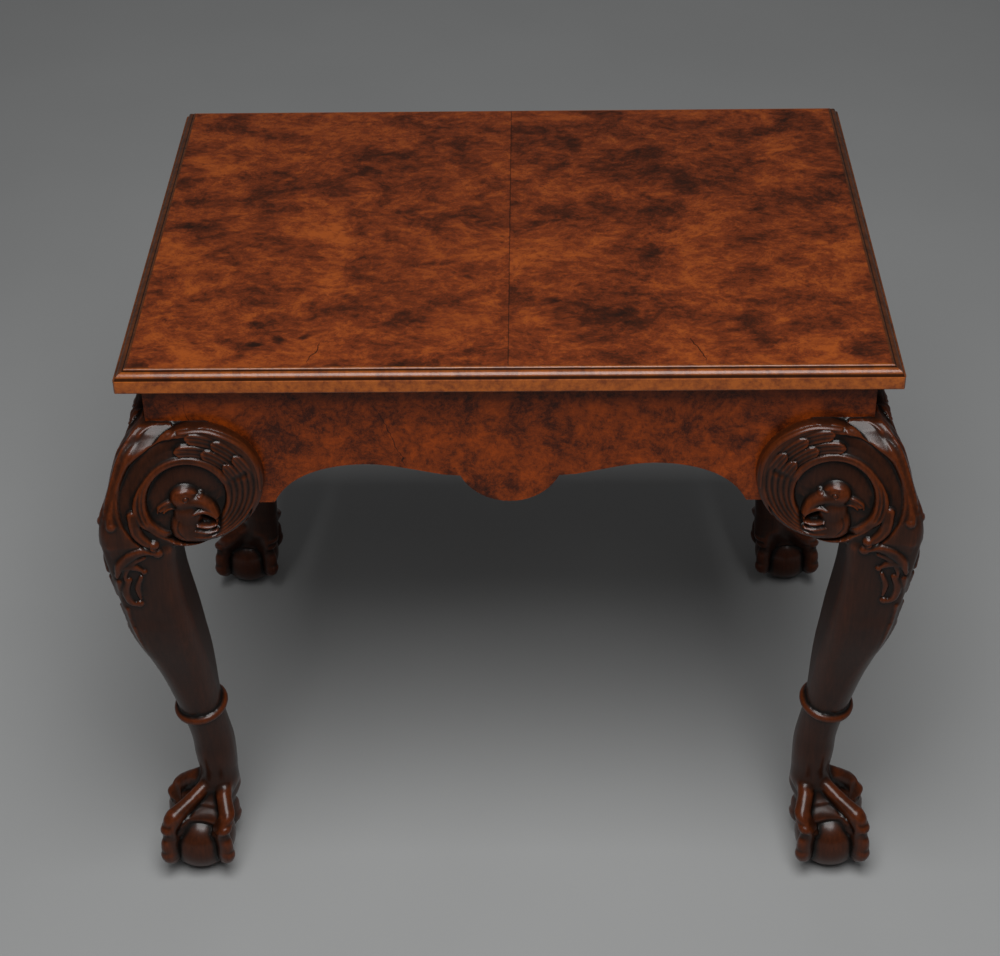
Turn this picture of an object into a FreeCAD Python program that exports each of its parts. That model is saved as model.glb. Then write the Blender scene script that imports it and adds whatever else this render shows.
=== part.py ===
import FreeCAD
import Part
import math
import os

# Burr walnut occasional table on carved cabriole legs, in millimetres.
# +Z is up and the origin is on the floor under the middle of the top. The front faces -Y.
# Corner work is drawn once, at the corner where +X and +Y meet, and mirrored to the others.
# There, "outward" is measured along +X and +Y from the faces of the frieze.

# Top
TOP_WIDTH = 610.0
TOP_DEPTH = 457.0
TABLE_HEIGHT = 540.0
TOP_THICKNESS = 18.0
VENEER = 1.2
OVERHANG = 18.0
TOP_CORNER_RADIUS = 3.5

# Edge moulding
MOULDING_WIDTH = 24.0
MOULDING_ARRIS = 1.8
BAND_HEIGHT = 11.0
OVOLO_STEP = 2.0
OVOLO_WIDTH = 5.2
QUIRK = 0.7
BEAD_WIDTH = 2.4
BEAD_RISE = 1.8

# Frieze rails, with arches and a round drop on the lower edge
RAIL_DEPTH = 117.0
RAIL_THICKNESS = 22.0
CROWN_RISE = 37.0
CUSP_RISE = 25.5
CUSP_FLAT = 13.0
LONG_DROP_HALF = 39.6
SHORT_DROP_HALF = 28.0
ARCH_MARGIN = 6.0

# Posts and their joints
POST = 50.0
TENON_THICKNESS = 8.0
TENON_SHOULDER = 16.0
MORTISE_WALL = 4.0
GLUE_GAP = 0.15

# Knee
KNEE_OUT = 45.5
KNEE_DROP = 14.0
KNEE_TOP_DROP = 37.0
KNEE_TOP_OUT = 2.0
KNEE_IN = 30.0
KNEE_LEAN = 15.0
SHANK_IN = 16.5
OUTER_ARRIS = 11.0
INNER_ARRIS = 7.0
FLANK_ROUND = 16.0

# Scroll roundel on each face of the knee, shared by the leg and the ear
SCROLL_RADIUS = 50.5
SCROLL_IN = 40.0
SCROLL_UP = 30.0
SCROLL_PROUD = 2.5
SCROLL_EDGE = 5.5
SCROLL_BACK = 14.0
EAR_THICKNESS = 9.0
FIELD_RADIUS = 31.5
FIELD_IN = 29.5
FIELD_UP = 20.0
FIELD_DEPTH = 4.5
FACE_MARGIN = 4.0

# Bird's neck and head in the roundel's sunk field
NECK_RADIUS = 9.5
HEAD_RADIUS = 11.0
BEAK_RADIUS = 8.0

# Collar round the ankle
COLLAR_HEIGHT = 177.0
COLLAR_OUT = 5.3
COLLAR_TUBE = 3.8
COLLAR_STAND = 1.4
COLLAR_ROOM = 2.0
COLLAR_TILT = 0.17

# Ball and claw foot
ANKLE_WIDTH = 35.6
ANKLE_OUT = -2.5
FOOT_TOP = 82.0
BALL_RADIUS = 31.0
BALL_FLAT = 1.0
BALL_OUT = -1.5
TOE_RADIUS = 8.0
TOE_STAND = 6.0
CLAW_GROUND = 17.0

# Corner blocks and the screws that hold the top
BLOCK_REACH = 42.0
BLOCK_HEIGHT = 38.0
SCREW_SHANK = 2.25
SCREW_HEAD = 4.25
SCREW_HEAD_HEIGHT = 4.0
SCREW_BITE = 10.0
SCREW_GAP = 0.1
SCREW_INSET = 12.0

# Worked out from the sizes above
UNDER_TOP = TABLE_HEIGHT - TOP_THICKNESS
RAIL_BOTTOM = UNDER_TOP - RAIL_DEPTH
FRIEZE_X = TOP_WIDTH / 2 - OVERHANG
FRIEZE_Y = TOP_DEPTH / 2 - OVERHANG
KNEE_TOP = UNDER_TOP - KNEE_TOP_DROP
KNEE_HEIGHT = RAIL_BOTTOM - KNEE_DROP
SCROLL_HEIGHT = RAIL_BOTTOM + SCROLL_UP
FIELD_HEIGHT = RAIL_BOTTOM + FIELD_UP
EDGE_INSET = OVOLO_STEP + OVOLO_WIDTH + QUIRK + BEAD_WIDTH
RAIL_INSIDE = VENEER + RAIL_THICKNESS
TENON_INSET = VENEER + (RAIL_THICKNESS - TENON_THICKNESS) / 2
TENON_LENGTH = POST - TENON_INSET - TENON_THICKNESS - MORTISE_WALL
BALL_HEIGHT = BALL_RADIUS - BALL_FLAT
WEB_LOW = BALL_HEIGHT + BALL_RADIUS * 0.55
WEB_HALF = BALL_RADIUS * 0.78
COLLAR_WIDTH = ANKLE_WIDTH + COLLAR_ROOM
ROUNDEL_REACH = SCROLL_IN + SCROLL_RADIUS + FACE_MARGIN

UP = FreeCAD.Vector(0, 0, 1)
CORNERS = {"front_left": (-1, -1), "front_right": (1, -1), "back_left": (-1, 1), "back_right": (1, 1)}
SIDES = {"front": -90, "right": 0, "back": 90, "left": 180}


def vec(x, y, z=0.0):
    return FreeCAD.Vector(x, y, z)


def block(x0, x1, y0, y1, z0, z1):
    return Part.makeBox(x1 - x0, y1 - y0, z1 - z0, vec(x0, y0, z0))


def line(start, end):
    return Part.LineSegment(start, end).toShape()


def spline(points):
    curve = Part.BSplineCurve()
    curve.interpolate(points)
    return curve.toShape()


def fuse(shapes):
    """One solid from pieces that overlap."""
    whole = shapes[0]
    for shape in shapes[1:]:
        whole = whole.fuse(shape)
    return whole


def save(name, shape):
    shape.exportStep(os.path.join("parts", name + ".step"))


def at_corner(shape, signs):
    """A corner drawn at +X +Y, mirrored to the corner with these signs."""
    moved = shape.translated(vec(FRIEZE_X, FRIEZE_Y))
    if signs[0] < 0:
        moved = moved.mirror(vec(0, 0), vec(1, 0))
    if signs[1] < 0:
        moved = moved.mirror(vec(0, 0), vec(0, 1))
    return moved


def across_diagonal(shape):
    """The same work on the corner's other face."""
    return shape.mirror(vec(0, 0), vec(1, -1).normalize())


# Top: core, two book-matched leaves and four mitred mouldings
def top_core():
    x = TOP_WIDTH / 2 - MOULDING_WIDTH
    y = TOP_DEPTH / 2 - MOULDING_WIDTH
    core = block(-x, x, -y, y, UNDER_TOP, TABLE_HEIGHT - VENEER)
    return core.cut(all_screws(SCREW_GAP))


def top_leaf(side):
    x = side * (TOP_WIDTH / 2 - EDGE_INSET)
    y = TOP_DEPTH / 2 - EDGE_INSET
    return block(min(0, x), max(0, x), -y, y, TABLE_HEIGHT - VENEER, TABLE_HEIGHT)


def moulding_profile():
    """Section of the edge, with inset from the outer face along X and height along Z."""
    base = UNDER_TOP
    band = base + BAND_HEIGHT
    ovolo_top = TABLE_HEIGHT - BEAD_RISE
    ovolo_height = ovolo_top - band
    ovolo_end = OVOLO_STEP + OVOLO_WIDTH
    bead_start = ovolo_end + QUIRK
    seat = TABLE_HEIGHT - VENEER
    slant = math.sqrt(0.5)
    arris = MOULDING_ARRIS
    arris_mid = arris * (1 - slant)

    def p(inset, z):
        return vec(-inset, 0, z)

    ovolo_mid = p(OVOLO_STEP + OVOLO_WIDTH * (1 - slant), band + ovolo_height * slant)
    bead_mid = p(bead_start + BEAD_WIDTH * 0.18, ovolo_top + BEAD_RISE * 0.72)
    bead_top = p(bead_start + BEAD_WIDTH * 0.6, TABLE_HEIGHT)
    edges = [
        line(p(MOULDING_WIDTH, base), p(arris, base)),
        Part.Arc(p(arris, base), p(arris_mid, base + arris_mid), p(0, base + arris)).toShape(),
        line(p(0, base + arris), p(0, band)),
        line(p(0, band), p(OVOLO_STEP, band)),
        Part.Arc(p(OVOLO_STEP, band), ovolo_mid, p(ovolo_end, ovolo_top)).toShape(),
        line(p(ovolo_end, ovolo_top), p(bead_start, ovolo_top)),
        Part.Arc(p(bead_start, ovolo_top), bead_mid, bead_top).toShape(),
        line(bead_top, p(EDGE_INSET, TABLE_HEIGHT)),
        line(p(EDGE_INSET, TABLE_HEIGHT), p(EDGE_INSET, seat)),
        line(p(EDGE_INSET, seat), p(MOULDING_WIDTH, seat)),
        line(p(MOULDING_WIDTH, seat), p(MOULDING_WIDTH, base)),
    ]
    return Part.Face(Part.Wire(edges))


def moulding(angle, reach, half_length):
    """One strip of the edge, cut to 45 degree mitres, turned to its side of the top."""
    face = moulding_profile().translated(vec(reach, -half_length))
    strip = face.extrude(vec(0, 2 * half_length))
    outline = [vec(reach, -half_length), vec(reach, half_length)]
    outline += [vec(reach - half_length, 0), outline[0]]
    mitres = Part.Face(Part.makePolygon(outline)).extrude(UP * TABLE_HEIGHT)
    strip = strip.common(mitres)
    strip.rotate(vec(0, 0), UP, angle)
    return strip.common(rounded_top())


def rounded_top():
    x = TOP_WIDTH / 2
    y = TOP_DEPTH / 2
    slab = block(-x, x, -y, y, UNDER_TOP, TABLE_HEIGHT)
    upright = [edge for edge in slab.Edges if abs(edge.tangentAt(edge.FirstParameter).z) > 0.9]
    return slab.makeFillet(TOP_CORNER_RADIUS, upright)


# Frieze: rails drawn along X with their face at Y = 0, then turned to their side
def lower_edge(half_length, drop_half):
    """Right half of the shaped lower edge, from the middle of the drop to the flat end."""
    spring = half_length - SCROLL_IN - SCROLL_RADIUS - ARCH_MARGIN
    span = spring - drop_half - CUSP_FLAT
    ogee = drop_half + CUSP_FLAT
    bottom = vec(0, 0, RAIL_BOTTOM)

    def p(x, rise):
        return vec(x, 0, RAIL_BOTTOM + rise)

    lobe_radius = (drop_half ** 2 + CUSP_RISE ** 2) / (2 * CUSP_RISE)
    lobe_turn = math.atan2(drop_half, lobe_radius - CUSP_RISE) / 2
    lobe_mid = p(lobe_radius * math.sin(lobe_turn), lobe_radius * (1 - math.cos(lobe_turn)))
    arch = [
        p(ogee, CUSP_RISE * 1.04),
        p(ogee + span * 0.14, CUSP_RISE + (CROWN_RISE - CUSP_RISE) * 0.45),
        p(ogee + span * 0.42, CROWN_RISE),
        p(ogee + span * 0.62, CROWN_RISE * 0.95),
        p(ogee + span * 0.83, CROWN_RISE * 0.68),
        p(spring, 0),
    ]
    return [
        Part.Arc(bottom, lobe_mid, p(drop_half, CUSP_RISE)).toShape(),
        line(p(drop_half, CUSP_RISE), arch[0]),
        spline(arch),
        line(arch[-1], p(half_length - POST, 0)),
    ]


def frieze_outline(half_length, drop_half):
    """Face of the rail between the posts, standing at Y = 0."""
    right = Part.Wire(lower_edge(half_length, drop_half))
    left = right.mirror(vec(0, 0), vec(1, 0))
    end = half_length - POST
    corners = ((end, RAIL_BOTTOM), (end, UNDER_TOP), (-end, UNDER_TOP), (-end, RAIL_BOTTOM))
    straight = Part.makePolygon([vec(x, 0, z) for x, z in corners])
    edges = right.Edges + left.Edges + straight.Edges
    return Part.Face(Part.Wire(Part.__sortEdges__(edges)))


def tenon(end, gap):
    """Tenon at the right end of a rail, or its mortise where gap is the room for glue."""
    low = RAIL_BOTTOM + TENON_SHOULDER - gap
    high = UNDER_TOP - TENON_SHOULDER + gap
    inner = -TENON_INSET + gap
    outer = -TENON_INSET - TENON_THICKNESS - gap
    return block(end, end + TENON_LENGTH + gap, outer, inner, low, high)


def rail(half_length, drop_half):
    end = half_length - POST
    face = frieze_outline(half_length, drop_half).translated(vec(0, -VENEER))
    board = face.extrude(vec(0, -RAIL_THICKNESS))
    right = tenon(end, 0.0)
    return fuse([board, right, right.mirror(vec(0, 0), vec(1, 0))]).removeSplitter()


def frieze_veneer(half_length, drop_half, strip_half):
    """Veneer over the rail and over both posts above the knees."""
    sheet = frieze_outline(half_length, drop_half).extrude(vec(0, -VENEER))
    strip = block(-strip_half, strip_half, -VENEER, 0, KNEE_TOP, UNDER_TOP)
    return fuse([sheet, strip]).removeSplitter()


def on_side(shape, side):
    """A rail or sheet drawn facing +Y, moved to its side of the table."""
    reach = FRIEZE_Y if side in ("front", "back") else FRIEZE_X
    placed = shape.translated(vec(0, reach))
    placed.rotate(vec(0, 0), UP, SIDES[side] - 90)
    return placed


# Leg: a square-sawn cabriole with soft corners
def rounded_section(outward, inward, lean, radii, height):
    """Square section with its outer corner pulled forward by lean, as lines and corner arcs."""
    points = [
        vec(outward, outward, height),
        vec(-inward, outward - lean, height),
        vec(-inward, -inward, height),
        vec(outward - lean, -inward, height),
    ]
    arcs = []
    for i, point in enumerate(points):
        before = (points[i - 1] - point).normalize()
        after = (points[(i + 1) % 4] - point).normalize()
        half = before.getAngle(after) / 2
        run = radii[i] / math.tan(half)
        middle = (before + after).normalize() * (radii[i] / math.sin(half) - radii[i])
        arcs.append((point + before * run, point + middle, point + after * run))
    edges = []
    for i, arc in enumerate(arcs):
        edges.append(Part.Arc(*arc).toShape())
        edges.append(line(arc[2], arcs[(i + 1) % 4][0]))
    return Part.Wire(edges)


def round_section(outward, width, height):
    radius = width * 0.46
    return rounded_section(outward, width - outward, 0.0, [radius] * 4, height)


def leg_sections():
    """Sections from the web of skin over the ball up to the top of the knee."""
    ankle = COLLAR_HEIGHT - FOOT_TOP
    halfway = ANKLE_OUT + (COLLAR_OUT - ANKLE_OUT) * 0.35
    spread = WEB_HALF * 0.45
    ankle_in = ANKLE_WIDTH - ANKLE_OUT
    sections = [
        rounded_section(BALL_OUT + WEB_HALF, WEB_HALF - BALL_OUT, 0.0, [WEB_HALF * 0.37] * 4, WEB_LOW),
        rounded_section(spread, ankle_in, 0.0, [WEB_HALF * 0.58] * 4, (WEB_LOW + FOOT_TOP) / 2),
        round_section(ANKLE_OUT, ANKLE_WIDTH, FOOT_TOP),
        round_section(ANKLE_OUT, ANKLE_WIDTH, FOOT_TOP + ankle * 0.3),
        round_section(halfway, ANKLE_WIDTH, FOOT_TOP + ankle * 0.7),
        round_section(COLLAR_OUT, COLLAR_WIDTH, COLLAR_HEIGHT),
    ]
    radii = (OUTER_ARRIS, FLANK_ROUND, INNER_ARRIS, FLANK_ROUND)

    def add(height, outward, inward, lean, rounding):
        sizes = [radius * share for radius, share in zip(radii, rounding)]
        sections.append(rounded_section(outward, inward, KNEE_LEAN * lean, sizes, height))

    # shank: shares of the way from collar to knee in height, outward and inward, then lean and rounding
    collar_in = COLLAR_WIDTH - COLLAR_OUT
    for up, out, thin, lean, rounding in (
        (0.16, 0.15, 0.15, 0.0, (1.4, 1.0, 1.7, 1.0)),
        (0.42, 0.50, 0.43, 0.1, (1.1, 0.94, 1.15, 0.94)),
        (0.67, 0.75, 0.81, 0.27, (1.0, 0.8, 1.0, 0.8)),
        (0.85, 0.90, 1.0, 0.6, (1.0, 0.7, 1.0, 0.7)),
    ):
        height = COLLAR_HEIGHT + (KNEE_HEIGHT - COLLAR_HEIGHT) * up
        outward = COLLAR_OUT + (KNEE_OUT - COLLAR_OUT) * out
        add(height, outward, collar_in + (SHANK_IN - collar_in) * thin, lean, rounding)
    # knee: shares of its height, of how far it stands out and of its depth, then lean and rounding
    for up, out, deep, lean, rounding in (
        (0.0, 1.0, 0.19, 0.87, (1.0, 0.56, 1.0, 0.56)),
        (0.29, 0.90, 0.56, 1.0, (0.9, 0.5, 1.0, 0.5)),
        (0.52, 0.71, 0.70, 0.93, (0.8, 0.44, 1.0, 0.44)),
        (0.75, 0.45, 0.85, 0.7, (0.7, 0.38, 1.0, 0.38)),
        (1.0, 0.0, 1.0, 0.2, (0.55, 0.38, 1.0, 0.38)),
    ):
        height = KNEE_HEIGHT + (KNEE_TOP - KNEE_HEIGHT) * up
        outward = KNEE_TOP_OUT + (KNEE_OUT - KNEE_TOP_OUT) * out
        add(height, outward, SHANK_IN + (KNEE_IN - SHANK_IN) * deep, lean, rounding)
    return sections


def collar():
    """Turned ring round the ankle, square to the slope of the leg."""
    radius = COLLAR_WIDTH / 2
    t = COLLAR_TUBE
    profile = ((-t, -t), (t * 0.4, -t), (t, -t * 0.4), (t, t * 0.4), (t * 0.4, t), (-t, t), (-t, -t))
    outline = [vec(radius + COLLAR_STAND + across, 0, up) for across, up in profile]
    ring = Part.Face(Part.makePolygon(outline)).revolve(vec(0, 0), UP, 360)
    turn = FreeCAD.Rotation(UP, vec(COLLAR_TILT, COLLAR_TILT, 1))
    ring.Placement = FreeCAD.Placement(vec(COLLAR_OUT - radius, COLLAR_OUT - radius, COLLAR_HEIGHT), turn)
    return ring


# Foot: a ball gripped by four toes
def tapered_tube(path, across):
    """Round tube through rings of X, Y, Z and radius, closing to a blunt tip. Across points off the path."""
    x, y, z, radius = path[-1]
    end = vec(x, y, z)
    ahead = (end - vec(*path[-2][:3])).normalize()
    rings = list(path)
    for forward, share in ((0.55, 0.83), (0.9, 0.42)):
        tip = end + ahead * (radius * forward)
        rings.append((tip.x, tip.y, tip.z, radius * share))
    wires = []
    for i, (x, y, z, radius) in enumerate(rings):
        following = rings[min(i + 1, len(rings) - 1)]
        before = rings[max(i - 1, 0)]
        heading = vec(*following[:3]) - vec(*before[:3])
        ring = Part.makeCircle(radius)
        turn = FreeCAD.Rotation(across, vec(0, 0), heading, "ZXY")
        ring.Placement = FreeCAD.Placement(vec(x, y, z), turn)
        wires.append(Part.Wire(ring))
    return Part.makeLoft(wires, True, True)


def foot():
    """Ball and the four toes that grip it."""
    room = BALL_RADIUS * 2
    floor = block(-room, room, -room, room, -room, 0)
    ball = Part.makeSphere(BALL_RADIUS, vec(BALL_OUT, BALL_OUT, BALL_HEIGHT)).cut(floor)
    reach = (BALL_RADIUS + TOE_STAND) * math.sqrt(0.5)
    near = BALL_OUT - reach
    far = BALL_OUT + reach
    knuckle = BALL_HEIGHT + BALL_RADIUS * 0.92
    claw = CLAW_GROUND + TOE_RADIUS
    between = (knuckle + claw) / 2
    ankle_in = ANKLE_OUT - ANKLE_WIDTH
    ankle_mid = ANKLE_OUT - ANKLE_WIDTH / 2
    r = TOE_RADIUS
    nail = claw + r * 0.8
    outer = [
        (ankle_mid * 0.6, ankle_mid * 0.6, FOOT_TOP + r * 0.25, r * 0.85),
        (far * 0.25, far * 0.25, FOOT_TOP - r * 1.1, r * 0.85),
        (far * 0.72, far * 0.72, FOOT_TOP - r * 1.75, r * 1.05),
        (far - r * 0.25, far - r * 0.25, knuckle, r * 0.95),
        (far, far, between, r * 0.95),
        (far + r * 0.12, far + r * 0.12, nail, r * 1.1),
        (far, far, claw, r * 0.95),
    ]
    side = [
        (ankle_in + r, ankle_mid, FOOT_TOP + r * 0.5, r * 0.75),
        (ankle_in + r * 1.5, far * 0.05, FOOT_TOP - r * 0.5, r * 0.9),
        (near - r * 0.25, far * 0.55, FOOT_TOP - r * 1.75, r * 0.95),
        (near, far - r * 0.12, knuckle - r * 0.25, r * 0.98),
        (near, far, between, r * 0.9),
        (near, far, nail, r * 1.05),
        (near + r * 0.12, far - r * 0.12, claw, r * 0.92),
    ]
    inner = [
        (ankle_in + r * 1.6, ankle_in + r * 1.6, FOOT_TOP, r * 0.85),
        (near - r * 0.25, near - r * 0.25, knuckle + r * 0.5, r),
        (near - r * 0.12, near - r * 0.12, between, r * 0.85),
        (near, near, nail, r * 1.02),
        (near + r * 0.12, near + r * 0.12, claw, r * 0.92),
    ]
    side_toe = tapered_tube(side, vec(1, 0))
    front_toe = tapered_tube(outer, vec(1, -1))
    back_toe = tapered_tube(inner, vec(1, -1))
    return [ball, front_toe, side_toe, across_diagonal(side_toe), back_toe]


# Scroll roundel on the knee's +Y face, which leans back from the corner towards the rail
def face_profiles():
    """X of the roundel's two sides, Z of five levels down it, and how far its face stands out there."""
    sides = (SCROLL_RADIUS - SCROLL_IN + FACE_MARGIN, -ROUNDEL_REACH)
    high = SCROLL_HEIGHT + SCROLL_RADIUS + FACE_MARGIN
    low = SCROLL_HEIGHT - SCROLL_RADIUS - FACE_MARGIN
    levels = [high + (low - high) * i / 4 for i in range(5)]
    knee_side = [KNEE_OUT * share + SCROLL_PROUD for share in (0.24, 0.45, 0.62, 0.76, 0.84)]
    rail_side = [EAR_THICKNESS * share + SCROLL_PROUD for share in (0.89, 1.0, 1.06, 1.33, 1.89)]
    return sides, levels, (knee_side, rail_side)


def face_out(inward, height):
    """How far the roundel's face stands out at one point of it."""
    sides, levels, (knee_side, rail_side) = face_profiles()
    across = (sides[0] + inward) / (sides[0] - sides[1])
    down = (levels[0] - height) / (levels[0] - levels[-1]) * (len(levels) - 1)
    i = min(max(int(down), 0), len(levels) - 2)
    knee = knee_side[i] + (knee_side[i + 1] - knee_side[i]) * (down - i)
    rail_end = rail_side[i] + (rail_side[i + 1] - rail_side[i]) * (down - i)
    return knee + (rail_end - knee) * across


def scroll_wedge(sink):
    """Solid behind the roundel's curved face, lowered by sink."""
    sides, levels, faces = face_profiles()
    wires = []
    for x, face in zip(sides, faces):
        front = [vec(x, out - sink, z) for out, z in zip(face, levels)]
        back = [front[-1], vec(x, -SCROLL_BACK, levels[-1]), vec(x, -SCROLL_BACK, levels[0]), front[0]]
        wires.append(Part.Wire([spline(front)] + Part.makePolygon(back).Edges))
    return Part.makeLoft(wires, True, True)


def drum(inward, height, radius, back):
    """Round bar along Y from this far behind the frieze, out past the knee."""
    return Part.makeCylinder(radius, back + 2 * KNEE_OUT, vec(-inward, -back, height), vec(0, 1))


def scroll_disc():
    """Roundel with a soft front edge."""
    disc = drum(SCROLL_IN, SCROLL_HEIGHT, SCROLL_RADIUS, 2 * SCROLL_BACK).common(scroll_wedge(0.0))
    front = [face for face in disc.Faces if isinstance(face.Surface, Part.BSplineSurface)]
    return disc.makeFillet(SCROLL_EDGE, front[0].Edges)


def sunk_field():
    """What is cut away in front of the roundel's sunk field."""
    return drum(FIELD_IN, FIELD_HEIGHT, FIELD_RADIUS, 0.0).cut(scroll_wedge(FIELD_DEPTH))


def bird():
    """Neck curling up from the roundel's edge to a head with a hooked, open beak."""
    def ring(inward, rise, sink, radius):
        """Places are shares of the field's radius from its centre, and sink is a share of the ring's own."""
        x = FIELD_IN + FIELD_RADIUS * inward
        height = FIELD_HEIGHT + FIELD_RADIUS * rise
        return (-x, face_out(x, height) - radius * sink, height, radius)

    neck = [
        ring(1.35, 0.06, 0.9, NECK_RADIUS * 0.7),
        ring(1.25, -0.57, 0.74, NECK_RADIUS * 0.85),
        ring(0.78, -0.92, 0.74, NECK_RADIUS),
        ring(0.24, -0.89, 0.6, NECK_RADIUS * 1.05),
        ring(-0.11, -0.57, 0.53, NECK_RADIUS),
        ring(-0.14, -0.19, 0.42, NECK_RADIUS),
        ring(-0.02, 0.1, 0.37, HEAD_RADIUS),
    ]
    upper_beak = [
        ring(0.08, 0.03, 0.5, BEAK_RADIUS),
        ring(0.37, -0.03, 0.4, BEAK_RADIUS * 0.95),
        ring(0.59, -0.22, 0.7, BEAK_RADIUS * 0.7),
        ring(0.71, -0.48, 1.7, BEAK_RADIUS * 0.35),
    ]
    lower_beak = [
        ring(0.08, -0.32, 0.63, BEAK_RADIUS),
        ring(0.33, -0.54, 1.07, BEAK_RADIUS * 0.7),
        ring(0.56, -0.67, 1.67, BEAK_RADIUS * 0.45),
    ]
    return fuse([tapered_tube(path, vec(0, 1)) for path in (neck, upper_beak, lower_beak)])


def ear(disc, field, figure):
    """The roundel past the post, glued to the frieze and lapping under the rail."""
    past_post = block(-ROUNDEL_REACH, -POST, -SCROLL_BACK, ROUNDEL_REACH, 0, UNDER_TOP)
    piece = fuse([disc.cut(field), figure]).common(past_post)
    behind = block(-ROUNDEL_REACH, -POST, -ROUNDEL_REACH, 0, RAIL_BOTTOM, UNDER_TOP)
    return piece.cut(behind)


def leg(disc, field, figure):
    far = ROUNDEL_REACH
    this_side = block(-POST, far, -far, far, 0, UNDER_TOP)
    knee_disc = disc.common(this_side)
    head = figure.common(this_side)
    post = block(-POST, 0, -POST, 0, RAIL_BOTTOM, UNDER_TOP)
    shank = Part.makeLoft(leg_sections(), True, False)
    body = fuse([shank, collar()] + foot() + [post, knee_disc, across_diagonal(knee_disc)])
    body = body.cut(field).cut(across_diagonal(field))
    body = fuse([body, head, across_diagonal(head)])
    above_knee = block(-POST, far, -VENEER, far, KNEE_TOP, UNDER_TOP)
    body = body.cut(above_knee).cut(across_diagonal(above_knee))
    mortise = tenon(-POST, GLUE_GAP)
    return body.cut(mortise).cut(across_diagonal(mortise))


# Corner blocks behind the posts, and the screws up through them into the top
def corner_block():
    tip = -POST - BLOCK_REACH
    back = -RAIL_INSIDE
    base = UNDER_TOP - BLOCK_HEIGHT
    points = ((-POST, back), (tip, back), (back, tip), (back, -POST), (-POST, -POST))
    outline = [vec(x, y, base) for x, y in points]
    prism = Part.Face(Part.makePolygon(outline + outline[:1])).extrude(UP * BLOCK_HEIGHT)
    return prism.cut(corner_screws(SCREW_GAP))


def corner_screws(gap):
    """Two countersunk screws at one corner, or their holes where gap is the room round them."""
    base = UNDER_TOP - BLOCK_HEIGHT
    length = BLOCK_HEIGHT + SCREW_BITE + gap
    along = -POST - SCREW_INSET
    behind = -RAIL_INSIDE - SCREW_INSET
    shapes = []
    for x, y in ((along, behind), (behind, along)):
        head = Part.makeCone(SCREW_HEAD + gap, SCREW_SHANK + gap, SCREW_HEAD_HEIGHT, vec(x, y, base))
        shank = Part.makeCylinder(SCREW_SHANK + gap, length, vec(x, y, base))
        shapes.append(fuse([head, shank]).removeSplitter())
    return Part.makeCompound(shapes)


def all_screws(gap):
    return Part.makeCompound([at_corner(corner_screws(gap), signs) for signs in CORNERS.values()])


def build():
    os.makedirs("parts", exist_ok=True)
    save("top_core", top_core())
    save("top_veneer_left", top_leaf(-1))
    save("top_veneer_right", top_leaf(1))
    for side, angle in SIDES.items():
        along_x = side in ("front", "back")
        reach = TOP_DEPTH / 2 if along_x else TOP_WIDTH / 2
        half_length = TOP_WIDTH / 2 if along_x else TOP_DEPTH / 2
        save("moulding_" + side, moulding(angle, reach, half_length))
        half_frieze = FRIEZE_X if along_x else FRIEZE_Y
        drop_half = LONG_DROP_HALF if along_x else SHORT_DROP_HALF
        strip_half = FRIEZE_X if along_x else FRIEZE_Y - VENEER
        save("rail_" + side, on_side(rail(half_frieze, drop_half), side))
        save("frieze_veneer_" + side, on_side(frieze_veneer(half_frieze, drop_half, strip_half), side))
    roundel = (scroll_disc(), sunk_field(), bird())
    whole_leg = leg(*roundel)
    whole_ear = ear(*roundel)
    for name, signs in CORNERS.items():
        end, flank = name.split("_")
        save("leg_" + name, at_corner(whole_leg, signs))
        save("ear_" + name + "_on_" + end, at_corner(whole_ear, signs))
        save("ear_" + name + "_on_" + flank, at_corner(across_diagonal(whole_ear), signs))
        save("corner_block_" + name, at_corner(corner_block(), signs))
    save("top_screws", all_screws(0.0))


build()
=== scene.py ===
import math

import bpy
import numpy as np
from mathutils import Matrix, Vector


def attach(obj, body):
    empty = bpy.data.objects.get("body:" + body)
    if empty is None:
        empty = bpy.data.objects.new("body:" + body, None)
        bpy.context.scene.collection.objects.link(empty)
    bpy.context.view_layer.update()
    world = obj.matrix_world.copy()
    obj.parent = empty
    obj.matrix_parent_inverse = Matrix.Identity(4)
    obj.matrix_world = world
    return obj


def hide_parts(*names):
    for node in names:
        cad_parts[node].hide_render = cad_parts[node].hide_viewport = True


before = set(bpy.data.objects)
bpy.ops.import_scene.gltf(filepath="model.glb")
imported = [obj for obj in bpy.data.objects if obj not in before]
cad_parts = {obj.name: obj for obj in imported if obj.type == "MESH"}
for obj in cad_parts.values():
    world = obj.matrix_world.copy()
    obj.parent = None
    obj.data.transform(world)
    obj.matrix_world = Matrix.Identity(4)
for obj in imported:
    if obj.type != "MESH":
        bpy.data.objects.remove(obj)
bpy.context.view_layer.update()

# Burr walnut occasional table on carved cabriole legs. Metres, in the CAD frame: the front faces -Y.
MM = 0.001

# Sizes taken from the CAD, in mm: the faces of the frieze, the rail's lower edge, the top and its edge moulding
FRIEZE_X = 287.0
FRIEZE_Y = 210.5
RAIL_BOTTOM = 405.0
TOP = 540.0
TOP_WIDTH = 610.0
TOP_DEPTH = 457.0
BAND_TOP = 533.0
POST = 50.0
CORNERS = {"front_left": (-1, -1), "front_right": (1, -1), "back_left": (-1, 1), "back_right": (1, 1)}

# Scroll roundel on a knee's face, in mm: inward from the frieze's corner and up from the rail's lower edge
DISC = (40.0, 30.0)
DISC_RADIUS = 50.5
FIELD = (29.5, 20.0)
FIELD_RADIUS = 31.5
# How far the roundel's uncarved face stands out from the frieze, at five levels, on the knee's side and the rail's
KNEE_SIDE = -14.5
RAIL_SIDE = 94.5
LEVELS = (-24.5, 2.75, 30.0, 57.25, 84.5)
KNEE_FACE = (40.7, 37.1, 30.7, 23.0, 13.4)
RAIL_FACE = (19.5, 14.5, 12.0, 11.5, 10.5)
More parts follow.
